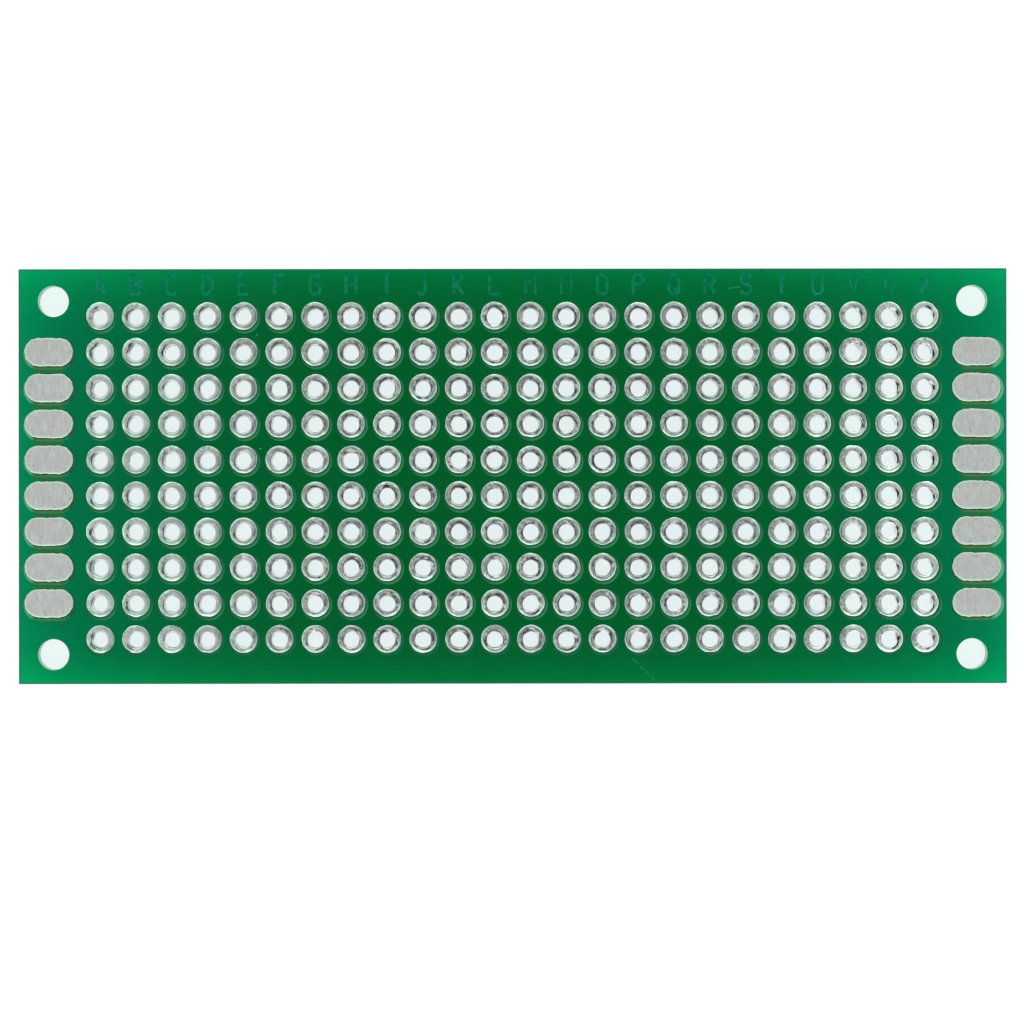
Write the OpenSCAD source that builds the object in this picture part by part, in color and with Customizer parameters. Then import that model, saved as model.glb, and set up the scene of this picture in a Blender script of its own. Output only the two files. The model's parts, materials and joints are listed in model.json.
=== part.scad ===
// Double-sided prototype board with plated-through holes on a 2.54 mm grid.
// Origin: centre of the board's outline, on the lowest faces of the bottom pads.
// +X runs along the columns from A to X, +Y towards the first row, +Z out of the indexed side.

/* [Board] */
// Thickness of the bare glass-epoxy sheet
sheet_t = 1.5; // [0.8:0.1:2.4]
// Sheet beyond the outermost columns, from the hole centres to each end
end_margin = 5.75; // [5.5:0.05:8]
// Sheet beyond the first row, from the hole centres to the edge
first_row_margin = 3.35; // [2.8:0.05:6]
// Sheet beyond the last row, from the hole centres to the edge
last_row_margin = 3.15; // [2.8:0.05:6]

/* [Grid of plated holes] */
// Distance from one hole centre to the next, in rows and columns
pitch = 2.54; // [2.45:0.01:3]
// Number of rows, counted from the indexed edge
rows = 10; // [4:1:20]
// Finished bore, open for a component lead
bore_d = 1.1; // [0.7:0.05:1.3]
// Thickness of the metal on the wall of a hole
barrel_wall = 0.05; // [0.03:0.01:0.1]
// Diameter of the round pad at each mouth of a hole
ring_pad_d = 1.95; // [1.7:0.05:2.1]

/* [Pad build-up] */
// Thickness of the copper foil under a pad
foil_t = 0.035; // [0.02:0.005:0.07]
// Height of the solder coat above the foil
solder_h = 0.045; // [0.02:0.005:0.07]

/* [Edge pads] */
// Length of an edge pad along the board
edge_pad_l = 3.45; // [2.4:0.05:3.7]
// Width of an edge pad, which has full-round ends
edge_pad_w = 2; // [1.5:0.05:2.1]
// Bare strip between an edge pad and the end of the board
edge_pad_inset = 0.4; // [0.3:0.05:0.7]
// Width of the rounded shoulder along the rim of an edge pad
shoulder_w = 0.15; // [0.08:0.01:0.3]
// Rows at each corner that have no edge pad
corner_rows = 1; // [1:1:3]

/* [Mounting holes] */
// Diameter of a mounting hole, for an M2 screw
mount_hole_d = 2.2; // [1.8:0.1:3]
// Distance of a mounting hole beyond the outermost column
mount_beyond_column = 3.29; // [2.9:0.01:4.1]
// Distance of a mounting hole beyond the outermost row
mount_beyond_row = 1.07; // [0.8:0.01:1.5]

/* [Solder mask] */
// Thickness of the mask on each face
mask_t = 0.03; // [0.015:0.005:0.05]
// Bare sheet round a pad, where the mask is centred on it
mask_gap = 0.15; // [0.14:0.01:0.2]
// Offset of the top mask from the pads along the board
mask_shift_x = 0.08; // [-0.09:0.01:0.09]
// Offset of the top mask from the pads across the board
mask_shift_y = -0.09; // [-0.09:0.01:0.09]

/* [Hidden] */
// One letter per column of holes
COLUMN_LETTERS = "abcdefghijklmnopqrstuvwx";

LEFT = -1;
RIGHT = 1;
SHEET_COLOR = [0.62, 0.61, 0.40];
MASK_COLOR = [0.03, 0.43, 0.25];
SOLDER_COLOR = [0.76, 0.77, 0.76];

columns = len(COLUMN_LETTERS);
board_l = (columns - 1) * pitch + 2 * end_margin;
board_w = (rows - 1) * pitch + first_row_margin + last_row_margin;
first_row_y = board_w / 2 - first_row_margin;

// Heights of the build-up, from the lowest faces of the bottom pads
pad_h = foil_t + solder_h;
sheet_bottom = pad_h;
sheet_top = pad_h + sheet_t;

bore_r = bore_d / 2;
drill_d = bore_d + 2 * barrel_wall;
ring_w = (ring_pad_d - bore_d) / 2;

edge_pad_x = board_l / 2 - edge_pad_inset - edge_pad_l / 2;
mount_x = (columns - 1) / 2 * pitch + mount_beyond_column;
mount_y = (rows - 1) / 2 * pitch + mount_beyond_row;
grid_centre_y = first_row_y - (rows - 1) / 2 * pitch;

$fn = 96;

// Centre of a column, counted from 0 at the -X end
function column_x(column) = (column - (columns - 1) / 2) * pitch;

// Centre of a row, counted from 0 at the indexed edge
function row_y(row) = first_row_y - row * pitch;

// Radius of the arc that falls by h over the distance w, level at its crest
function arc_r(w, h) = (w * w + h * h) / (2 * h);

module at_rows(column) {
    for (row = [0 : rows - 1])
        translate([column_x(column), row_y(row)])
            children();
}

module at_grid() {
    for (column = [0 : columns - 1])
        at_rows(column)
            children();
}

module at_mounting_holes() {
    for (x = [-mount_x, mount_x])
        for (y = [-mount_y, mount_y])
            translate([x, grid_centre_y + y])
                children();
}

module at_edge_pads(side) {
    for (row = [corner_rows : rows - 1 - corner_rows])
        translate([side * edge_pad_x, row_y(row)])
            children();
}

module board_outline() {
    square([board_l, board_w], center = true);
}

module obround(l, w) {
    square([l - w, w], center = true);
    for (end = [-1, 1])
        translate([end * (l - w) / 2, 0])
            circle(d = w);
}

module sheet() {
    color(SHEET_COLOR)
        translate([0, 0, sheet_bottom])
            linear_extrude(sheet_t)
                difference() {
                    board_outline();
                    at_grid()
                        circle(d = drill_d);
                    at_mounting_holes()
                        circle(d = mount_hole_d);
                }
}

// Windows in the mask, each wider than its pad by the gap all round
module mask_windows() {
    at_grid()
        circle(d = ring_pad_d + 2 * mask_gap);
    for (side = [LEFT, RIGHT])
        at_edge_pads(side)
            obround(edge_pad_l + 2 * mask_gap, edge_pad_w + 2 * mask_gap);
}

module solder_mask(shift) {
    color(MASK_COLOR)
        linear_extrude(mask_t)
            difference() {
                board_outline();
                translate(shift)
                    mask_windows();
                at_mounting_holes()
                    circle(d = mount_hole_d);
            }
}

module solder_mask_top() {
    translate([0, 0, sheet_top])
        solder_mask([mask_shift_x, mask_shift_y]);
}

module solder_mask_bottom() {
    translate([0, 0, sheet_bottom - mask_t])
        solder_mask([0, 0]);
}

// Half section of an edge pad, from its middle out to its rim
module edge_pad_half_section() {
    half_w = edge_pad_w / 2;
    crest_w = half_w - shoulder_w;
    shoulder_r = arc_r(shoulder_w, solder_h);
    square([half_w, foil_t]);
    translate([0, foil_t])
        square([crest_w, solder_h]);
    intersection() {
        translate([crest_w, foil_t])
            square([shoulder_w, solder_h]);
        translate([crest_w, pad_h - shoulder_r])
            circle(shoulder_r);
    }
}

// One edge pad standing on the sheet: a straight run between two revolved ends
module edge_pad() {
    straight = edge_pad_l - edge_pad_w;
    for (turn = [0, 180])
        rotate([0, 0, turn])
            translate([straight / 2, 0, 0])
                rotate([0, 0, -90])
                    rotate_extrude(angle = 180)
                        edge_pad_half_section();
    rotate([90, 0, 90])
        linear_extrude(straight, center = true)
            for (half = [0, 1])
                mirror([half, 0])
                    edge_pad_half_section();
}

module edge_pads_top(side) {
    color(SOLDER_COLOR)
        at_edge_pads(side)
            translate([0, 0, sheet_top])
                edge_pad();
}

module edge_pads_bottom(side) {
    color(SOLDER_COLOR)
        at_edge_pads(side)
            translate([0, 0, sheet_bottom])
                mirror([0, 0, 1])
                    edge_pad();
}

// Section of the round pad on one face: a foil ring under a crown of solder
module ring_pad_section() {
    crown_r = arc_r(ring_w / 2, solder_h);
    translate([bore_r, 0])
        square([ring_w, foil_t]);
    intersection() {
        translate([0, foil_t])
            square([ring_pad_d, solder_h]);
        translate([bore_r + ring_w / 2, pad_h - crown_r])
            circle(crown_r);
    }
}

// One plated hole: the barrel through the sheet with a crowned pad at each mouth
module plated_hole() {
    rotate_extrude() {
        translate([bore_r, sheet_bottom])
            square([barrel_wall, sheet_t]);
        translate([0, sheet_top])
            ring_pad_section();
        translate([0, sheet_bottom])
            mirror([0, 1])
                ring_pad_section();
    }
}

module plated_holes(column) {
    color(SOLDER_COLOR)
        at_rows(column)
            plated_hole();
}

sheet();
solder_mask_top();
solder_mask_bottom();
edge_pads_top(LEFT);  // edge_pads_top_left
edge_pads_top(RIGHT);  // edge_pads_top_right
edge_pads_bottom(LEFT);  // edge_pads_bottom_left
edge_pads_bottom(RIGHT);  // edge_pads_bottom_right
for (column = [0 : columns - 1])
    plated_holes(column);
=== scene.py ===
"""Prototype board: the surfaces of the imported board, with its floor, light and camera.

Lengths are in millimetres, but for the frame's own and those whose names end in _M. Meshes are
written in metres.
"""

import json
import math

import bpy
import numpy as np
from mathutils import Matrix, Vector


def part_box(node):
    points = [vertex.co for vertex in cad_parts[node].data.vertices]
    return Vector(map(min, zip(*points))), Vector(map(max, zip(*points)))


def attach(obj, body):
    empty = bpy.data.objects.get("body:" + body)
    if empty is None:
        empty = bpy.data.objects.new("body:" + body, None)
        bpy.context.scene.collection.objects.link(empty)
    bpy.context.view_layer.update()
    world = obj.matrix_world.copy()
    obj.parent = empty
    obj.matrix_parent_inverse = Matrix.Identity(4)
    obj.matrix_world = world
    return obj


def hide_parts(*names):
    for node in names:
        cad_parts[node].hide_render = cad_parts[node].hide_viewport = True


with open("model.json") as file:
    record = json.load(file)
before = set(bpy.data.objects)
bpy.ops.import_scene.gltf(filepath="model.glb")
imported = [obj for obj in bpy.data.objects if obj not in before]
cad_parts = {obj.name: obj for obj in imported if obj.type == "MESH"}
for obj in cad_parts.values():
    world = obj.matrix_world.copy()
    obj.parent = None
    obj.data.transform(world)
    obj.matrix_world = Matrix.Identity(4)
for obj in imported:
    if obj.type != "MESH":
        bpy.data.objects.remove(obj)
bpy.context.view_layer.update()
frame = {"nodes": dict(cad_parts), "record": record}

MM = 0.001
TAU = 2 * math.pi
SEED = 24
SHARP_ANGLE = math.radians(55)

# Sizes that the frame gives
MOUNTS = {mount["name"]: mount for mount in frame["record"]["mounts"]}
SHEET_LOW, SHEET_HIGH = [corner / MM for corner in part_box("sheet")]
HALF_L = SHEET_HIGH.x
HALF_W = SHEET_HIGH.y
TOP = SHEET_HIGH.z
BOTTOM = SHEET_LOW.z
MASK_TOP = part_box("solder_mask_top")[1].z / MM
BORE_R = MOUNTS["lead_hole_a1"]["dims"]["r_mm"]
FIRST_HOLE = Vector(MOUNTS["lead_hole_a1"]["pos_m"]) / MM
LAST_HOLE = Vector(MOUNTS["lead_hole_x10"]["pos_m"]) / MM
COLUMN_LETTERS = "ABCDEFGHIJKLMNOPQRSTUVWX"
ROWS = 10
PITCH = (LAST_HOLE.x - FIRST_HOLE.x) / (len(COLUMN_LETTERS) - 1)
# The bottom pads stand on zero, so a pad is as high as the underside of the sheet
PAD_H = BOTTOM

# Outline of a plated hole, with at least two and fewer than five flat sides. Its low side is the one
# towards the last row.
RING_SEGMENTS = 48
RING_R = 0.995
FLAT_SIDES = (2, 5)
FLAT_DEPTH = 0.035
FLAT_FACING = 0.3
FOOT_WAVE = 0.02
FOOT_TURNS = (5, 11)
CREST_R = 0.69
CREST_SPREAD = (-0.04, 0.06)
CREST_WAVE = 0.045
CREST_TURNS = (1, 7)
CREST_LIMITS = (0.65, 0.86)
MOUTH_R = 0.56
MOUTH_SPREAD = (-0.015, 0.02)
MOUTH_WAVE = 0.022
MOUTH_SAG = 0.02
LEAST_MOUTH_R = BORE_R - 0.02
BEVEL_W = 0.09
BARREL_WALL = 0.05
DRILL_R = BORE_R + BARREL_WALL
WALL_SETBACK = 0.015
WALL_R = BORE_R + WALL_SETBACK

# Heights of a plated hole over the face of the sheet, and depths under it
CREST_H = PAD_H - 0.006
CREST_H_WAVE = 0.002
LEAST_CREST_H = 0.05
RING_TILT = 0.03
THROAT_DEPTH = 0.12
WALL_DEPTH = 0.5
# Share of the way from the foot to the crest, and share of the height
RING_SHOULDER = [
    (0.035, 0.25),
    (0.09, 0.45),
    (0.18, 0.66),
    (0.28, 0.82),
    (0.39, 0.91),
    (0.53, 0.96),
    (0.75, 0.99),
    (1.0, 1.0),
]
# Share of the way from the crest to the mouth, depth under the crest, and what the bevel on the low
# side of a mouth adds to it
RING_FALL = [
    (0.45, 0.001, 0.007),
    (0.72, 0.003, 0.023),
    (0.86, 0.009, 0.034),
    (0.95, 0.024, 0.034),
    (1.0, 0.07, 0.0),
]

# Offsets of the tin from the grid. The last one grows over a run towards the right end, and the run
# and its start are shares of half the board's length.
BORE_SHIFT_Y = -0.035
PAD_SHIFT_Y = 0.028
SHIFT_SPREAD = 0.015
END_SHIFT_X = -0.055
END_SHIFT_START = 0.5
END_SHIFT_RUN = 0.4

# The side on which a ring's coat is damaged, painted in shade as the side where the light is weak, and
# how much of it
SHADED_BROKEN_SIDE = math.radians(150)
SHADED_BROKEN_SIDE_SPREAD = 0.5
SHADED_BROKEN_SHARE = (0.3, 1.0)
SHADED_BROKEN_FOCUS = 1.5

# Edge pads, one for each row but the first and the last
EDGE_PADS = ROWS - 2
EDGE_PAD_LOW, EDGE_PAD_HIGH = [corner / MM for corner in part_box("edge_pads_top_right")]
EDGE_PADS_Y = (EDGE_PAD_LOW.y + EDGE_PAD_HIGH.y) / 2
EDGE_PADS_HALF = (EDGE_PADS - 1) * PITCH / 2
EDGE_PAD_W = EDGE_PAD_HIGH.y - EDGE_PAD_LOW.y - (EDGE_PADS - 1) * PITCH
EDGE_PAD_X = (EDGE_PAD_LOW.x + EDGE_PAD_HIGH.x) / 2
EDGE_PAD_STRAIGHT = EDGE_PAD_HIGH.x - EDGE_PAD_LOW.x - EDGE_PAD_W
EDGE_PAD_SEGMENTS = 112
EDGE_PAD_WAVE = 0.025
EDGE_PAD_WAVE_TURNS = (3, 9)
EDGE_PAD_BURRS = 0.05
EDGE_PAD_BURR_TURNS = (12, 26)
RAGGED_LIMITS = (-0.06, 0.03)
RAGGED_REACH = 0.5
# Distance in from the rim, and height over the sheet
EDGE_PAD_SECTION = [
    (0.0, 0.0),
    (0.0, 0.03),
    (0.012, 0.046),
    (0.04, 0.062),
    (0.08, 0.072),
    (0.15, 0.078),
    (0.28, 0.079),
    (0.5, 0.077),
    (0.75, 0.0785),
    (0.93, 0.08),
]

# Column index. A letter is one or more strokes through points, and a point is two digits: units
# across and units up, on a grid of 4 by 6.
GLYPH_UNITS_ACROSS = 4
GLYPH_UNITS_UP = 6
LETTER_W = 0.7
LETTER_H = 1.35
LETTER_LIFT = 1.57
STROKE_W = 0.23
GLYPHS = {
    "A": ["00 26 40", "12 32"],
    "B": ["00 06", "06 36 45 44 33 03", "33 42 41 30 00"],
    "C": ["45 36 16 05 01 10 30 41"],
    "D": ["00 06", "06 26 44 42 20 00"],
    "E": ["46 06 00 40", "03 33"],
    "F": ["46 06 00", "03 33"],
    "G": ["45 36 16 05 01 10 30 41 43 23"],
    "H": ["00 06", "40 46", "03 43"],
    "I": ["20 26"],
    "J": ["36 31 20 10 01"],
    "K": ["00 06", "46 02", "13 40"],
    "L": ["06 00 40"],
    "M": ["00 06 23 46 40"],
    "N": ["00 06 40 46"],
    "O": ["10 30 41 45 36", "36 16 05 01 10"],
    "P": ["00 06", "06 36 45 44 33 03"],
    "Q": ["10 30 41 45 36", "36 16 05 01 10", "22 40"],
    "R": ["00 06", "06 36 45 44 33 03", "23 40"],
    "S": ["45 36 16 05 04 13 33 42 41 30 10 01"],
    "T": ["06 46", "26 20"],
    "U": ["06 01 10 30 41 46"],
    "V": ["06 20 46"],
    "W": ["06 10 24 30 46"],
    "X": ["00 46", "06 40"],
}

# Two faint scratches on the mask, the first in three lengths, and two pale specks
SCRATCHES = [
    [(8.44, -12.9), (8.9, -13.34)],
    [(9.0, -13.42), (9.3, -13.74)],
    [(9.42, -13.82), (10.0, -14.42)],
    [(15.27, 13.28), (15.7, 13.33), (16.15, 13.4)],
]
SCRATCH_W = 0.07
SPECKS = [
    [(-18.12, 10.02), (-18.04, 10.02)],
    [(-17.9, 1.96), (-17.82, 1.98)],
]
SPECK_W = 0.06

# Every stroke stands this far out of the mask and as deep in it, with a flat top, and the strokes of
# a piece lie on a few layers in turn
INK_T = 0.012
STROKE_LIFT = 0.002
STROKE_LAYERS = 3
STROKE_FLATNESS = 2

# How far the painted glow on the mask's paler edges reaches in
MASK_GLOW_REACH = 1.6

# Camera, straight above a point just below the middle of the board
CAMERA_SENSOR = 36
CAMERA_LENS = 161.43
CAMERA_PLACE = (-0.05, -2.535, 326.6)
CAMERA_ROLL = -0.0011
CAMERA_NEAR_M = 0.01

# Light from all round: dim above and bright lower down, brightest from two opposite sides, and dark
# in a small spot round the zenith. Heights are sines of the angle over the horizon.
ZENITH_LIGHT = 0.66
SIDE_LIGHT = 1.4
SIDE_LIGHT_HEIGHT = 0.5
LIGHT_AXIS = (0.07, 1.0, 0.0)
LIGHT_AXIS_SHARE = 0.29
LIGHT_SIDE = (-0.316, -0.949, 0.0)
LIGHT_SIDE_SHARE = 0.15
DARK_LIGHT = 0.06
DARK_FROM = math.cos(math.radians(5.0))
DARK_TO = math.cos(math.radians(1.5))

FLOOR_HALF_M = 1.5


def linear(red, green, blue):
    """A colour that reads as these numbers from 0 to 255, as the shaders take it."""
    channels = [value / 255 for value in (red, green, blue)]
    channels = [c / 12.92 if c <= 0.04045 else ((c + 0.055) / 1.055) ** 2.4 for c in channels]
    return (*channels, 1.0)


class Nodes:
    """A node tree, with one short method for each kind of node that is used."""

    def __init__(self, tree):
        self.tree = tree
        tree.nodes.clear()

    def add(self, kind, inputs=None, **settings):
        """A node of that kind, with each input linked to an output or set to a value."""
        node = self.tree.nodes.new(kind)
        for name, value in settings.items():
            setattr(node, name, value)
        for key, value in (inputs or {}).items():
            if isinstance(value, bpy.types.NodeSocket):
                self.tree.links.new(value, node.inputs[key])
            else:
                node.inputs[key].default_value = value
        return node

    def math(self, operation, *values):
        return self.add("ShaderNodeMath", dict(enumerate(values)), operation=operation).outputs[0]

    def vector(self, operation, *values):
        return self.add("ShaderNodeVectorMath", dict(enumerate(values)), operation=operation).outputs

    def absolute(self, value):
        return self.math("ABSOLUTE", value)

    def product(self, *values):
        """The values multiplied together."""
        total = values[0]
        for value in values[1:]:
            total = self.math("MULTIPLY", total, value)
        return total

    def sum(self, *terms, base):
        """The base with each value times its factor added to it."""
        total = base
        for value, factor in terms:
            total = self.math("MULTIPLY_ADD", value, factor, total)
        return total

    def length(self, x, y):
        return self.math("SQRT", self.math("MULTIPLY_ADD", y, y, self.product(x, x)))

    def from_nearest(self, value, first):
        """How far a coordinate is from the nearest line of the grid of holes."""
        step = self.math("FRACT", self.math("MULTIPLY_ADD", value, 1 / PITCH, 0.5 - first / PITCH))
        return self.math("MULTIPLY_ADD", step, PITCH, -PITCH / 2)

    def eased(self, value, span, to=(0.0, 1.0)):
        """The value eased from one range to another, and held at its ends."""
        low, high = span
        to_low, to_high = to
        inputs = {"Value": value, "From Min": low, "From Max": high, "To Min": to_low, "To Max": to_high}
        node = self.add("ShaderNodeMapRange", inputs, interpolation_type="SMOOTHSTEP")
        return node.outputs["Result"]

    def mix(self, factor, low, high, blend="MIX"):
        """A mix of two colours, which are inputs 6 and 7 of the node."""
        inputs = {0: factor, 6: low, 7: high}
        return self.add("ShaderNodeMix", inputs, data_type="RGBA", blend_type=blend).outputs[2]

    def mix_values(self, factor, low, high):
        """A mix of two numbers, which are inputs 2 and 3 of the node."""
        return self.add("ShaderNodeMix", {0: factor, 2: low, 3: high}, data_type="FLOAT").outputs[0]

    def ramp(self, value, stops):
        """A colour ramp through (place, colour) stops."""
        node = self.add("ShaderNodeValToRGB", {"Fac": value})
        points = node.color_ramp.elements
        while len(points) < len(stops):
            points.new(0.5)
        for point, (place, color) in zip(points, stops):
            point.position = place
            point.color = color
        return node.outputs["Color"]

    def attribute(self, name):
        """A value that the mesh holds for each of its points."""
        return self.add("ShaderNodeAttribute", attribute_name=name).outputs["Fac"]

    def place(self, stretch=(1, 1, 1)):
        """The point on the object in millimetres, times a factor along each axis."""
        point = self.add("ShaderNodeTexCoord").outputs["Object"]
        return self.vector("MULTIPLY", point, [factor / MM for factor in stretch])["Vector"]

    def parts(self, vector):
        """The X, Y and Z of a vector."""
        return self.add("ShaderNodeSeparateXYZ", {0: vector}).outputs

    def noise(self, point, scale, detail, roughness):
        inputs = {"Vector": point, "Scale": scale, "Detail": detail, "Roughness": roughness}
        return self.add("ShaderNodeTexNoise", inputs).outputs["Fac"]

    def bump(self, height, depth):
        """A normal from a height, where the whole range of heights is depth millimetres deep."""
        return self.add("ShaderNodeBump", {"Distance": depth * MM, "Height": height}).outputs["Normal"]

    def surface(self, inputs):
        shader = self.add("ShaderNodeBsdfPrincipled", inputs)
        self.add("ShaderNodeOutputMaterial", {"Surface": shader.outputs[0]})


def new_material(name):
    """A material of that name, with its empty node tree."""
    material = bpy.data.materials.new(name)
    material.use_nodes = True
    return material, Nodes(material.node_tree)


def worn_and_shaded_tin(n, metal, point, radius, broken_and_shaded):
    """Dim stretches along a ring's rim, which are painted shade, and dull blotches where its coat is
    damaged, partly painted shade.
    """
    painted_rim_shade = n.eased(n.noise(point, 1.5, 2.0, 0.55), (0.36, 0.6), (0.62, 0.0))
    painted_rim_shade = n.product(painted_rim_shade, n.eased(radius, (0.76, 0.86)))
    # Painted shade: dim stretches along the rim
    metal = n.mix(painted_rim_shade, metal, (0.24, 0.34, 0.29, 1))
    blotches = n.eased(n.noise(point, 5.0, 2.0, 0.6), (0.4, 0.62))
    # Dull blotches where the coat is damaged, darkened as painted shade
    return n.mix(n.product(blotches, broken_and_shaded, 0.7), metal, (0.16, 0.17, 0.17, 1))


def painted_mouth_reflection(n, point, along, broken_and_shaded, inward):
    """Where the painted dark reflection outside a mouth lies.

    It comes and goes round the mouth, and its width varies. In the middle of the board it is on all
    sides, and towards an end only on the side that faces that end.
    """
    past_mouth = n.attribute("past_mouth_mm")
    stretches = n.math("MULTIPLY_ADD", broken_and_shaded, 0.1, n.noise(point, 1.3, 1.0, 0.5))
    stretches = n.eased(stretches, (0.36, 0.52))
    width = n.eased(n.noise(point, 1.9, 1.0, 0.5), (0.35, 0.7), (0.03, 0.16))
    within = n.eased(n.math("SUBTRACT", past_mouth, width), (0.0, 0.05), (1.0, 0.0))
    outside = n.eased(past_mouth, (-0.02, 0.01))
    from_middle = n.absolute(n.math("DIVIDE", along, HALF_L))
    faces_end = n.eased(inward, (-0.75, -0.15), (1.0, 0.1))
    sides = n.mix_values(n.eased(from_middle, (0.2, 0.75)), 0.85, faces_end)
    return n.product(stretches, within, outside, sides)


def ring_tones(n, metal, point, along):
    """Some rings darker than others, but for those at the right end, which are all brighter."""
    right_end = n.eased(along, (0.4 * HALF_L, 0.85 * HALF_L))
    tone = n.eased(n.noise(point, 0.6, 1.0, 0.5), (0.35, 0.65), (0.4, 0.0))
    tone = n.product(tone, n.math("SUBTRACT", 1.0, right_end))
    metal = n.mix(tone, metal, (0.36, 0.44, 0.40, 1))
    return n.mix(n.product(right_end, 0.6), metal, (1.3, 1.35, 1.32, 1), "MULTIPLY")


def left_end_rim_light_and_shade(n, metal, left_end, place, radius):
    """Painted mint highlights on the rims at the left end, and painted dark green shade on both slants
    of their low side.
    """
    mint = n.product(left_end, n.eased(radius, (0.74, 0.86)))
    # Painted highlight: mint rims at the left end
    metal = n.mix(mint, metal, (1.08, 1.28, 1.2, 1), "MULTIPLY")
    from_column = n.from_nearest(place[0], FIRST_HOLE.x)
    from_row = n.from_nearest(place[1], FIRST_HOLE.y)
    slant = n.product(n.absolute(from_column), from_row)
    slant = n.math("DIVIDE", slant, n.product(radius, radius))
    slant = n.eased(slant, (-0.48, -0.25), (1.0, 0.0))
    # Painted shade: dark green on both slants of the low side
    smeared_shade = n.product(slant, n.eased(radius, (0.74, 0.9), (0.0, 0.6)), left_end)
    return n.mix(smeared_shade, metal, (0.1, 0.24, 0.17, 1))


def tinned_ring_material():
    """Tin on the plated holes with painted light: a bright mint rim highlight tinted by the mask's green
    as a painted reflection, painted dark reflections and shade, and uneven where the coat is damaged.
    """
    material, n = new_material("tinned_ring")
    point = n.place()
    place = n.parts(point)
    radius = n.attribute("radius_mm")
    broken_and_shaded = n.attribute("broken_and_shaded")
    inward = n.attribute("inward")
    left_end = n.eased(place[0], (-0.9 * HALF_L, -0.4 * HALF_L), (1.0, 0.0))
    # Painted highlight: the ramp makes the rim bright and mint, with the mask's green painted in as a
    # reflection
    metal = n.ramp(
        n.eased(radius, (0.5, 1.0)),
        [
            (0.0, (0.80, 0.82, 0.82, 1)),
            (0.4, (0.77, 0.80, 0.79, 1)),
            (0.6, (0.70, 0.83, 0.76, 1)),
            (0.78, (0.79, 1.0, 0.89, 1)),
            (0.88, (0.76, 1.0, 0.87, 1)),
            (1.0, (0.52, 0.82, 0.68, 1)),
        ],
    )
    metal = worn_and_shaded_tin(n, metal, point, radius, broken_and_shaded)
    # Painted reflection: a dark arc outside the mouth
    metal = n.mix(painted_mouth_reflection(n, point, place[0], broken_and_shaded, inward), metal, (0.04, 0.04, 0.045, 1))
    metal = ring_tones(n, metal, point, place[0])
    # Painted shade: the rim is darker on the side that faces the middle of the board
    shade_toward_middle = n.product(n.eased(inward, (0.1, 0.7)), n.eased(radius, (0.72, 0.86), (0.0, 0.5)))
    metal = n.mix(shade_toward_middle, metal, (0.14, 0.2, 0.17, 1))
    metal = left_end_rim_light_and_shade(n, metal, left_end, place, radius)
    ripples = n.noise(point, 1.6, 1.0, 0.4)
    grains = n.product(n.noise(point, 6.5, 2.0, 0.55), n.eased(broken_and_shaded, (0.1, 1.0), (0.1, 2.2)))
    n.surface(
        {
            "Base Color": metal,
            "Metallic": 1.0,
            "Roughness": n.sum((broken_and_shaded, 0.1), (left_end, 0.18), base=0.11),
            "Normal": n.bump(n.math("MULTIPLY_ADD", ripples, 4.0, grains), 0.007),
        }
    )
    return material


def tinned_pad_material():
    """Dull, brushed tin on the edge pads, with fine lines across the pad, a few dark specks and a
    painted highlight along the rim.
    """
    material, n = new_material("tinned_pad")
    point = n.place()
    inset = n.attribute("inset_mm")
    lines = n.noise(n.place((9.0, 1.6, 1.0)), 1.0, 3.0, 0.6)
    clouds = n.noise(point, 1.3, 3.0, 0.6)
    specks = n.eased(n.noise(point, 5.5, 1.0, 0.5), (0.66, 0.74))
    bits = n.eased(n.noise(point, 3.1, 3.0, 0.7), (0.57, 0.68))
    bits = n.product(bits, n.eased(inset, (0.12, 0.5), (1.0, 0.0)))
    face = n.mix(n.eased(lines, (0.3, 0.7)), (0.51, 0.55, 0.53, 1), (0.61, 0.65, 0.63, 1))
    face = n.mix(n.eased(clouds, (0.35, 0.7)), face, (0.56, 0.56, 0.55, 1))
    face = n.mix(n.product(specks, 0.6), face, (0.30, 0.28, 0.25, 1))
    face = n.mix(n.product(bits, 0.55), face, (0.30, 0.26, 0.22, 1))
    ragged = n.sum((n.noise(point, 2.4, 3.0, 0.6), 0.3), (inset, 1.0), base=-0.15)
    # Painted highlight: a pale mint band along the rim
    rim = n.product(n.eased(clouds, (0.3, 0.6), (0.5, 1.0)), n.eased(ragged, (0.05, 0.22), (1.0, 0.0)))
    n.surface(
        {
            "Base Color": n.mix(rim, face, (0.52, 0.72, 0.59, 1)),
            "Metallic": 1.0,
            "Roughness": n.eased(lines, (0.2, 0.8), (0.42, 0.60)),
            "Normal": n.bump(n.math("ADD", lines, clouds), 0.008),
        }
    )
    return material


def past_pad_middle(n, along):
    """How far a point is past the middle of the edge pads, towards the nearer end of the board."""
    return n.math("SUBTRACT", n.absolute(along), EDGE_PAD_X)


def to_edges(n, along, across):
    """How far a point is from the nearer end of the board, and from its nearer long side."""
    to_end = n.math("SUBTRACT", HALF_L, n.absolute(along))
    to_side = n.math("SUBTRACT", HALF_W, n.absolute(across))
    return to_end, to_side


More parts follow.
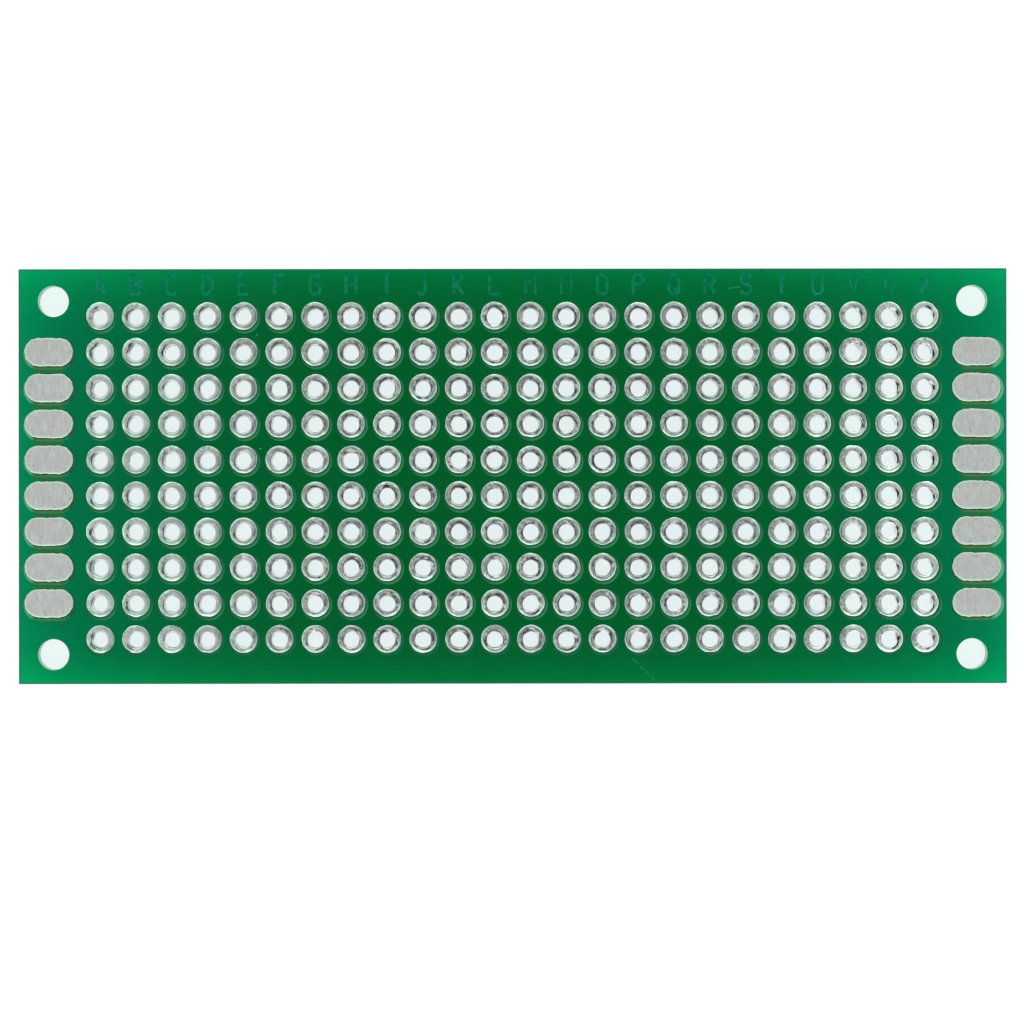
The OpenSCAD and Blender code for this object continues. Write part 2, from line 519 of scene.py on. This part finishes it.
def bare_round_ring(n, along, across):
    """The sheet between a ring and the mask: painted shade by the pad and a painted highlight by the
    mask's edge, greener under the last row and to the right of a ring.
    """
    from_column = n.from_nearest(along, FIRST_HOLE.x)
    from_row = n.from_nearest(across, FIRST_HOLE.y)
    from_hole = n.length(from_column, from_row)
    # Painted shade: darkest by the pad, paler out to the mask's edge as a painted highlight
    bare = n.ramp(
        n.eased(from_hole, (0.9, 1.3)),
        [
            (0.0, linear(34, 84, 56)),
            (0.4, linear(40, 96, 64)),
            (0.7, linear(56, 130, 88)),
            (1.0, linear(58, 136, 92)),
        ],
    )
    last_row = n.eased(across, (LAST_HOLE.y + 0.5, LAST_HOLE.y + 2.0), (1.0, 0.0))
    last_row = n.product(last_row, n.eased(from_hole, (1.02, 1.12)))
    to_right = n.eased(n.math("DIVIDE", from_column, from_hole), (0.7, 0.95))
    to_right = n.product(to_right, n.eased(along, (-HALF_L, 0.0), (0.8, 0.2)))
    return n.mix(n.math("MAXIMUM", last_row, to_right), bare, linear(8, 100, 64))


def bare_round_edge_pad(n, along, across):
    """The sheet between an edge pad and the mask, darkest by the pad as painted shade: pale at the tip
    and brown under the straight run.
    """
    to_tip = past_pad_middle(n, along)
    past_straight = n.math("SUBTRACT", n.absolute(to_tip), EDGE_PAD_STRAIGHT / 2)
    past_straight = n.math("MAXIMUM", past_straight, 0.0)
    from_row = n.from_nearest(across, FIRST_HOLE.y)
    from_pad = n.eased(n.length(past_straight, from_row), (0.95, 1.3))
    # Each ramp starts dark next to the pad: painted shade
    green = n.ramp(
        from_pad,
        [
            (0.0, linear(20, 80, 48)),
            (0.45, linear(30, 112, 74)),
            (1.0, linear(30, 120, 80)),
        ],
    )
    pale = n.ramp(
        from_pad,
        [
            (0.0, linear(72, 124, 84)),
            (0.3, linear(98, 170, 128)),
            (1.0, linear(76, 164, 120)),
        ],
    )
    brown = n.ramp(
        from_pad,
        [
            (0.0, linear(48, 66, 30)),
            (0.28, linear(62, 104, 58)),
            (0.6, linear(64, 122, 76)),
            (1.0, linear(60, 126, 80)),
        ],
    )
    under = n.eased(past_straight, (0.0, 0.5), (1.0, 0.0))
    under = n.product(under, n.math("LESS_THAN", from_row, 0.0))
    bare = n.mix(n.eased(to_tip, (0.9, 1.4)), green, pale)
    return n.mix(under, bare, brown)


def cut_edge(n, fibres, inner):
    """Pale layers along the cut edges of the sheet, and mint on the walls of its holes as a painted glow
    of light through the sheet.
    """
    plies = n.noise(n.place((0.5, 0.5, 7.0)), 1.0, 2.0, 0.6)
    cut = n.mix(n.eased(plies, (0.35, 0.65)), linear(166, 176, 128), linear(206, 212, 168))
    cut = n.mix(n.eased(fibres, (0.45, 0.75), (0.0, 0.6)), cut, linear(228, 232, 206))
    # Painted glow: mint on the walls of the holes
    return n.mix(inner, cut, linear(138, 214, 174))


def laminate_material():
    """Glass-epoxy sheet: dark with painted shade where a pad's window leaves it bare, pale along its
    edges, with a painted glow on the walls of its holes.
    """
    material, n = new_material("laminate")
    along, across = n.parts(n.place())[:2]
    at_end = n.math("GREATER_THAN", n.absolute(along), EDGE_PAD_X - EDGE_PAD_STRAIGHT)
    face = n.mix(at_end, bare_round_ring(n, along, across), bare_round_edge_pad(n, along, across))
    fibres = n.noise(n.place((2.5, 2.5, 14.0)), 1.0, 3.0, 0.7)
    inner = n.eased(n.math("MINIMUM", *to_edges(n, along, across)), (0.05, 0.2))
    normal = n.add("ShaderNodeTexCoord").outputs["Normal"]
    flat = n.absolute(n.parts(normal)[2])
    n.surface(
        {
            "Base Color": n.mix(n.eased(flat, (0.4, 0.6)), cut_edge(n, fibres, inner), face),
            "Roughness": n.mix_values(inner, n.eased(fibres, (0.3, 0.7), (0.45, 0.7)), 0.3),
            "Specular IOR Level": n.eased(flat, (0.4, 0.6), (0.5, 0.1)),
            "Normal": n.bump(fibres, 0.008),
        }
    )
    return material


def mask_green_and_glow(n, along, to_end, to_side):
    """The mask's green with a painted glow, paler towards the ends, the long sides and most of all the
    corners.
    """
    share = n.math("DIVIDE", along, HALF_L)
    share_2 = n.product(share, share)
    share_4 = n.product(share_2, share_2)
    near_end = n.math("EXPONENT", n.math("DIVIDE", to_end, -MASK_GLOW_REACH))
    near_side = n.math("EXPONENT", n.math("DIVIDE", to_side, -MASK_GLOW_REACH))
    corner = n.product(share_2, near_side)
    green = n.sum(
        (share_4, 0.082),
        (near_end, 0.055),
        (near_side, 0.08),
        (corner, 0.07),
        base=0.096,
    )
    blue = n.sum(
        (share_2, 0.006),
        (share_4, 0.05),
        (near_end, 0.012),
        (near_side, 0.024),
        (corner, 0.01),
        base=0.0205,
    )
    return n.add("ShaderNodeCombineColor", {0: 0.0003, 1: green, 2: blue}).outputs[0]


def between_edge_pads(n, along, across):
    """Where the mask is a strip between two edge pads."""
    half = EDGE_PAD_STRAIGHT / 2
    beside = n.eased(n.absolute(past_pad_middle(n, along)), (half - 0.1, half + 0.6), (1.0, 0.0))
    from_row = n.absolute(n.from_nearest(across, FIRST_HOLE.y))
    from_middle = n.absolute(n.math("SUBTRACT", across, EDGE_PADS_Y))
    among = n.eased(from_middle, (EDGE_PADS_HALF + 0.3, EDGE_PADS_HALF + 0.7), (0.85, 0.0))
    return n.product(beside, n.eased(from_row, (1.0, 1.1)), among)


def mask_material():
    """Green mask with a painted glow towards its edges, browner between the edge pads and greyer along
    its cut rim.
    """
    material, n = new_material("solder_mask")
    along, across = n.parts(n.place())[:2]
    to_end, to_side = to_edges(n, along, across)
    clouds = n.noise(n.place(), 0.9, 3.0, 0.6)
    # Painted glow: the green is paler towards the ends, the long sides and the corners
    color = mask_green_and_glow(n, along, to_end, to_side)
    color = n.mix(n.eased(clouds, (0.3, 0.7), (0.0, 0.1)), color, linear(0, 66, 30))
    color = n.mix(between_edge_pads(n, along, across), color, linear(44, 100, 56))
    rim = n.eased(n.math("MINIMUM", to_end, to_side), (0.05, 0.17), (0.75, 0.0))
    n.surface(
        {
            "Base Color": n.mix(rim, color, linear(34, 100, 84)),
            "Roughness": 0.28,
            "Specular IOR Level": 0.02,
            "Normal": n.bump(n.noise(n.place(), 1.3, 2.0, 0.5), 0.004),
        }
    )
    return material


def ink_material():
    """Faint teal print of the column index, a little brighter towards the board's ends."""
    material, n = new_material("index_print")
    patches = n.eased(n.noise(n.place(), 2.4, 3.0, 0.6), (0.35, 0.65))
    along = n.parts(n.place())[0]
    in_middle = n.eased(n.absolute(along), (0.2 * HALF_L, 0.9 * HALF_L), (1.0, 0.0))
    middle = n.mix(patches, linear(3, 104, 68), linear(18, 117, 88))
    ends = n.mix(patches, linear(2, 110, 78), linear(20, 130, 98))
    n.surface(
        {
            "Base Color": n.mix(in_middle, ends, middle),
            "Roughness": 0.4,
            "Specular IOR Level": 0.02,
        }
    )
    return material


def scraped_material(name, dark, pale):
    """Mask scraped paler, in patches from one colour to another."""
    material, n = new_material(name)
    patches = n.eased(n.noise(n.place(), 4.0, 2.0, 0.5), (0.35, 0.65))
    n.surface(
        {
            "Base Color": n.mix(patches, dark, pale),
            "Roughness": 0.6,
            "Specular IOR Level": 0.2,
        }
    )
    return material


def wave(angles, rng, size, first=2, last=7):
    """A smooth random ripple round a loop, with each count of waves from the first to the last."""
    total = np.zeros_like(angles)
    for turns in range(first, last + 1):
        total += rng.normal(0, 1 / turns) * np.cos(turns * angles + rng.uniform(0, TAU))
    return size * total


def flattened(angles, rng):
    """The outline of a ring: a circle with a few sides that are slightly flat."""
    outline = np.full_like(angles, RING_R)
    for _ in range(rng.integers(*FLAT_SIDES)):
        facing = np.cos(angles - rng.uniform(0, TAU))
        reach = RING_R - rng.uniform(0, FLAT_DEPTH)
        flat = np.minimum(outline, reach / np.maximum(facing, FLAT_FACING))
        outline = np.where(facing > FLAT_FACING, flat, outline)
    return outline


def ring_face(rng):
    """One face of a plated hole: rows of (radius, height over the sheet), from its foot to the mid bore.

    With them go the angles round the hole and the radius of the mouth with its bevel.
    """
    angles = np.linspace(0, TAU, RING_SEGMENTS, endpoint=False)
    low_side = np.clip(-np.sin(angles), 0, 1)
    foot = flattened(angles, rng) + wave(angles, rng, FOOT_WAVE, *FOOT_TURNS)
    crest = CREST_R + rng.uniform(*CREST_SPREAD) + BEVEL_W * low_side
    crest = np.clip(crest + wave(angles, rng, CREST_WAVE, *CREST_TURNS), *CREST_LIMITS)
    mouth = MOUTH_R + rng.uniform(*MOUTH_SPREAD) + MOUTH_SAG * low_side
    mouth = np.maximum(mouth + wave(angles, rng, MOUTH_WAVE), LEAST_MOUTH_R)
    height = np.clip(CREST_H + wave(angles, rng, CREST_H_WAVE), LEAST_CREST_H, PAD_H)
    tilt = np.clip(rng.normal(0, RING_TILT, 2), -2 * RING_TILT, 2 * RING_TILT)
    lean = tilt[0] * np.cos(angles) + tilt[1] * np.sin(angles)
    ground = np.zeros_like(angles)
    rows = [(np.full_like(angles, DRILL_R), ground), (foot, ground)]
    for share, rise in RING_SHOULDER:
        radius = foot + (crest - foot) * share
        rows.append((radius, np.clip(height * rise + lean * (radius - foot), 0.0, PAD_H)))
    for share, drop, bevel in RING_FALL:
        radius = crest + (mouth - crest) * share
        under_crest = height - drop - bevel * low_side
        rows.append((radius, np.clip(under_crest + lean * (radius - foot), 0.0, PAD_H)))
    rows.append((0.5 * (mouth + WALL_R), ground - THROAT_DEPTH))
    rows.append((np.full_like(angles, WALL_R), ground - WALL_DEPTH))
    return angles, rows, mouth + BEVEL_W * low_side


def plated_hole(rng, x, y):
    """The points of one plated hole closed round its barrel, and four values for each point.

    They are its radius, how far it is past the edge of the mouth, how damaged and shaded the tin is
    there, and how far it faces the middle of the board.
    """
    points, radii, past_mouth, breaks_and_shade, facings = [], [], [], [], []
    end_shift = END_SHIFT_X * np.clip((x / HALF_L - END_SHIFT_START) / END_SHIFT_RUN, 0, 1)
    for side in (1, -1):
        angles, rows, mouth = ring_face(rng)
        rows = rows if side == 1 else rows[::-1]
        pad_shift = np.array([end_shift, PAD_SHIFT_Y]) + rng.uniform(-SHIFT_SPREAD, SHIFT_SPREAD, 2)
        bore_shift = np.array([end_shift, BORE_SHIFT_Y]) + rng.uniform(-SHIFT_SPREAD, SHIFT_SPREAD, 2)
        # The damaged side is also painted in shade, as the side where the light is weak
        toward = np.cos(angles - rng.normal(SHADED_BROKEN_SIDE, SHADED_BROKEN_SIDE_SPREAD))
        broken_and_shaded = rng.uniform(*SHADED_BROKEN_SHARE) * np.clip(toward, 0, 1) ** SHADED_BROKEN_FOCUS
        for radius, height in rows:
            on_pad = np.clip((radius - MOUTH_R) / (CREST_R - MOUTH_R), 0, 1)
            shift = np.outer(on_pad, pad_shift) + np.outer(1 - on_pad, bore_shift)
            z = TOP + height if side == 1 else BOTTOM - height
            ring = np.column_stack([x + radius * np.cos(angles), y + radius * np.sin(angles), z])
            ring[:, :2] += shift
            points.append(ring)
            radii.append(radius)
            past_mouth.append(radius - mouth)
            breaks_and_shade.append(broken_and_shaded)
            facings.append(-(x * np.cos(angles) + y * np.sin(angles)) / HALF_L)
    values = {"radius_mm": radii, "past_mouth_mm": past_mouth, "broken_and_shaded": breaks_and_shade, "inward": facings}
    return np.array(points), {name: np.ravel(value) for name, value in values.items()}


def new_piece(name, points, faces, material):
    """A smooth mesh piece that rides on the board, with points in millimetres."""
    mesh = bpy.data.meshes.new(name)
    mesh.from_pydata((points * MM).tolist(), [], faces)
    mesh.materials.append(material)
    mesh.shade_smooth()
    mesh.set_sharp_from_angle(angle=SHARP_ANGLE)
    piece = bpy.data.objects.new(name, mesh)
    bpy.context.scene.collection.objects.link(piece)
    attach(piece, "root")
    return piece


def add_attribute(piece, name, values):
    attribute = piece.data.attributes.new(name, "FLOAT", "POINT")
    attribute.data.foreach_set("value", np.asarray(values, np.float32))


def grid_faces(rows, segments, start, closed):
    """Four-sided faces over rows of points that run round a loop."""
    faces = []
    for row in range(rows if closed else rows - 1):
        low = start + row * segments
        high = start + (row + 1) % rows * segments
        for step in range(segments):
            after = (step + 1) % segments
            faces.append((low + step, low + after, high + after, high + step))
    return faces


def make_plated_holes(material):
    """One piece for each lettered column, in the place of its plain solids."""
    for column, letter in enumerate(COLUMN_LETTERS.lower()):
        rng = np.random.default_rng(SEED + column)
        x = FIRST_HOLE.x + column * PITCH
        points, values, faces = [], [], []
        for row in range(ROWS):
            hole, value = plated_hole(rng, x, FIRST_HOLE.y - row * PITCH)
            faces += grid_faces(len(hole), RING_SEGMENTS, sum(map(len, points)), closed=True)
            points.append(hole.reshape(-1, 3))
            values.append(value)
        piece = new_piece(f"tinned_holes_{letter}", np.concatenate(points), faces, material)
        for name in values[0]:
            add_attribute(piece, name, np.concatenate([value[name] for value in values]))
        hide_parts(f"plated_holes_{letter}")


def obround_outline(length, width, count):
    """Points round an obround and the outward direction at each, evenly spaced."""
    radius = width / 2
    straight = length - width
    arc = math.pi * radius
    points, outward = [], []
    for step in range(count):
        way = step / count * 2 * (straight + arc)
        side = 1 if way < straight + arc else -1
        way %= straight + arc
        angle = min(way / radius, math.pi) - math.pi / 2
        slide = max(way - arc, 0)
        facing = np.array([math.cos(angle), math.sin(angle)])
        points.append(side * (radius * facing + np.array([straight / 2 - slide, 0])))
        outward.append(side * facing)
    return np.array(points), np.array(outward)


def edge_pad(rng, outline, outward, x, y, side):
    """Rows of points of one edge pad from its foot to the middle of its face.

    With them goes how far each point is from the rim.
    """
    count = len(outline)
    angles = np.linspace(0, TAU, count, endpoint=False)
    ragged = wave(angles, rng, EDGE_PAD_WAVE, *EDGE_PAD_WAVE_TURNS)
    ragged = ragged + wave(angles, rng, EDGE_PAD_BURRS, *EDGE_PAD_BURR_TURNS)
    ragged = np.clip(ragged, *RAGGED_LIMITS)
    points, insets = [], []
    for inset, height in EDGE_PAD_SECTION:
        fade = max(0, 1 - inset / RAGGED_REACH)
        ring = outline + outward * (ragged * fade - inset)[:, None]
        level = np.full(count, (TOP + height) if side == 1 else (BOTTOM - height))
        points.append(np.column_stack([x + ring[:, 0], y + ring[:, 1] * side, level]))
        insets.append(np.full(count, inset))
    return np.array(points), np.array(insets)


def make_edge_pads(node, material):
    """The pads of one end and face of the board, in the place of their plain solids."""
    low, high = [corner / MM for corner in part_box(node)]
    side = 1 if "top" in node else -1
    rng = np.random.default_rng([SEED, "top" in node, "left" in node])
    outline, outward = obround_outline(EDGE_PAD_STRAIGHT + EDGE_PAD_W, EDGE_PAD_W, EDGE_PAD_SEGMENTS)
    points, insets, faces = [], [], []
    for pad in range(EDGE_PADS):
        start = sum(map(len, points))
        y = low.y + EDGE_PAD_W / 2 + pad * PITCH + PAD_SHIFT_Y
        rows, inset = edge_pad(rng, outline, outward, (low.x + high.x) / 2, y, side)
        last = start + (len(rows) - 1) * EDGE_PAD_SEGMENTS
        faces += grid_faces(len(rows), EDGE_PAD_SEGMENTS, start, closed=False)
        faces.append(tuple(range(start, start + EDGE_PAD_SEGMENTS))[::-1])
        faces.append(tuple(range(last, last + EDGE_PAD_SEGMENTS)))
        points.append(rows.reshape(-1, 3))
        insets.append(inset.ravel())
    piece = new_piece(f"tinned_{node}", np.concatenate(points), faces, material)
    add_attribute(piece, "inset_mm", np.concatenate(insets))
    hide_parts(node)


def make_strokes(name, lines, width, material):
    """Flat rounded strokes on the mask along lines of points, as one mesh piece.

    The curve has each stroke on a layer of its own, a millimetre apart. On the mask the layers are a
    hair's breadth apart, so that no stroke shares its face with one that it crosses.
    """
    curve = bpy.data.curves.new(name, "CURVE")
    curve.dimensions = "3D"
    curve.bevel_depth = width / 2
    curve.bevel_resolution = 2
    curve.use_fill_caps = True
    for layer, line in enumerate(lines):
        spline = curve.splines.new("POLY")
        spline.points.add(len(line) - 1)
        for point, (x, y) in zip(spline.points, line):
            point.co = (x, y, layer, 1)
    source = bpy.data.objects.new(name, curve)
    tubes = bpy.data.meshes.new_from_object(source)
    points = np.array([vertex.co for vertex in tubes.vertices])
    layers = np.round(points[:, 2])
    height = np.clip((points[:, 2] - layers) / (width / 2) * STROKE_FLATNESS, -1, 1)
    points[:, 2] = MASK_TOP + INK_T * height + STROKE_LIFT * (layers % STROKE_LAYERS)
    faces = [tuple(polygon.vertices) for polygon in tubes.polygons]
    bpy.data.objects.remove(source)
    new_piece(name, points, faces, material)


def make_column_index(material):
    """The letters over the columns of holes."""
    lines = []
    for column, letter in enumerate(COLUMN_LETTERS):
        left = FIRST_HOLE.x + column * PITCH - LETTER_W / 2
        base = FIRST_HOLE.y + LETTER_LIFT
        for stroke in GLYPHS[letter]:
            corners = [(int(u) / GLYPH_UNITS_ACROSS, int(v) / GLYPH_UNITS_UP) for u, v in stroke.split()]
            lines.append([(left + u * LETTER_W, base + v * LETTER_H) for u, v in corners])
    make_strokes("column_index", lines, STROKE_W, material)


def make_marks():
    """The scratches and the specks."""
    scratched = scraped_material("scratched_mask", linear(4, 112, 58), linear(24, 130, 78))
    make_strokes("scratches", SCRATCHES, SCRATCH_W, scratched)
    specked = scraped_material("specked_mask", linear(60, 150, 105), linear(120, 190, 150))
    make_strokes("specks", SPECKS, SPECK_W, specked)


def dress_cad_nodes():
    """Materials for the solids that stay in view."""
    laminate = laminate_material()
    mask = mask_material()
    for name, material in (("sheet", laminate), ("solder_mask_top", mask), ("solder_mask_bottom", mask)):
        slots = frame["nodes"][name].data.materials
        slots.clear()
        slots.append(material)


def floor_material():
    """Paper that shows white to the camera and in the metal, and is plain to all other light."""
    material, n = new_material("floor")
    seen = n.add("ShaderNodeLightPath").outputs
    looks = n.math("MAXIMUM", seen["Is Camera Ray"], seen["Is Glossy Ray"])
    looks = n.math("MAXIMUM", looks, seen["Is Transmission Ray"])
    plain = n.add("ShaderNodeBsdfDiffuse", {"Color": (0.8, 0.8, 0.8, 1)}).outputs[0]
    paper = n.add("ShaderNodeBsdfDiffuse", {"Color": (0.29, 0.28, 0.28, 1)}).outputs[0]
    glow = n.add("ShaderNodeEmission", {"Color": (0.735, 0.805, 0.815, 1)}).outputs[0]
    white = n.add("ShaderNodeAddShader", {0: paper, 1: glow}).outputs[0]
    both = n.add("ShaderNodeMixShader", {0: looks, 1: plain, 2: white}).outputs[0]
    n.add("ShaderNodeOutputMaterial", {"Surface": both})
    return material


def make_floor():
    """A pale floor, which keeps the board's shadow."""
    half = FLOOR_HALF_M
    mesh = bpy.data.meshes.new("floor")
    corners = [(-half, -half, 0), (half, -half, 0), (half, half, 0), (-half, half, 0)]
    mesh.from_pydata(corners, [], [(0, 1, 2, 3)])
    mesh.materials.append(floor_material())
    floor = bpy.data.objects.new("floor", mesh)
    bpy.context.scene.collection.objects.link(floor)


def make_light():
    """A soft studio all round the board."""
    world = bpy.data.worlds.new("studio")
    bpy.context.scene.world = world
    world.use_nodes = True
    n = Nodes(world.node_tree)
    direction = n.add("ShaderNodeTexCoord").outputs["Generated"]
    height = n.parts(direction)[2]
    level = n.eased(height, (SIDE_LIGHT_HEIGHT, 1.0), (SIDE_LIGHT, ZENITH_LIGHT))
    bearing = n.vector("MULTIPLY", direction, (1, 1, 0))["Vector"]
    bearing = n.vector("NORMALIZE", bearing)["Vector"]
    facing = n.vector("DOT_PRODUCT", bearing, LIGHT_AXIS)["Value"]
    aside = n.vector("DOT_PRODUCT", bearing, LIGHT_SIDE)["Value"]
    lobes = n.sum(
        (n.product(facing, facing), 2 * LIGHT_AXIS_SHARE),
        (aside, LIGHT_SIDE_SHARE),
        base=1 - LIGHT_AXIS_SHARE,
    )
    dark = n.eased(height, (DARK_FROM, DARK_TO))
    strength = n.mix_values(dark, n.product(level, lobes), DARK_LIGHT)
    glow = n.add("ShaderNodeBackground", {"Color": (1, 1, 1, 1), "Strength": strength})
    n.add("ShaderNodeOutputWorld", {"Surface": glow.outputs[0]})


def make_camera():
    """A camera that looks straight down, as in the photo."""
    lens = bpy.data.cameras.new("camera")
    lens.sensor_width = CAMERA_SENSOR
    lens.lens = CAMERA_LENS
    lens.clip_start = CAMERA_NEAR_M
    camera = bpy.data.objects.new("camera", lens)
    camera.location = Vector(CAMERA_PLACE) * MM
    camera.rotation_euler.z = CAMERA_ROLL
    bpy.context.scene.collection.objects.link(camera)
    bpy.context.scene.camera = camera


make_camera()
make_light()
make_floor()
dress_cad_nodes()
make_plated_holes(tinned_ring_material())
pad_metal = tinned_pad_material()
for edge_node in sorted(name for name in frame["nodes"] if name.startswith("edge_pads_")):
    make_edge_pads(edge_node, pad_metal)
make_column_index(ink_material())
make_marks()

bpy.context.scene.view_settings.view_transform = "Standard"

bpy.context.view_layer.update()
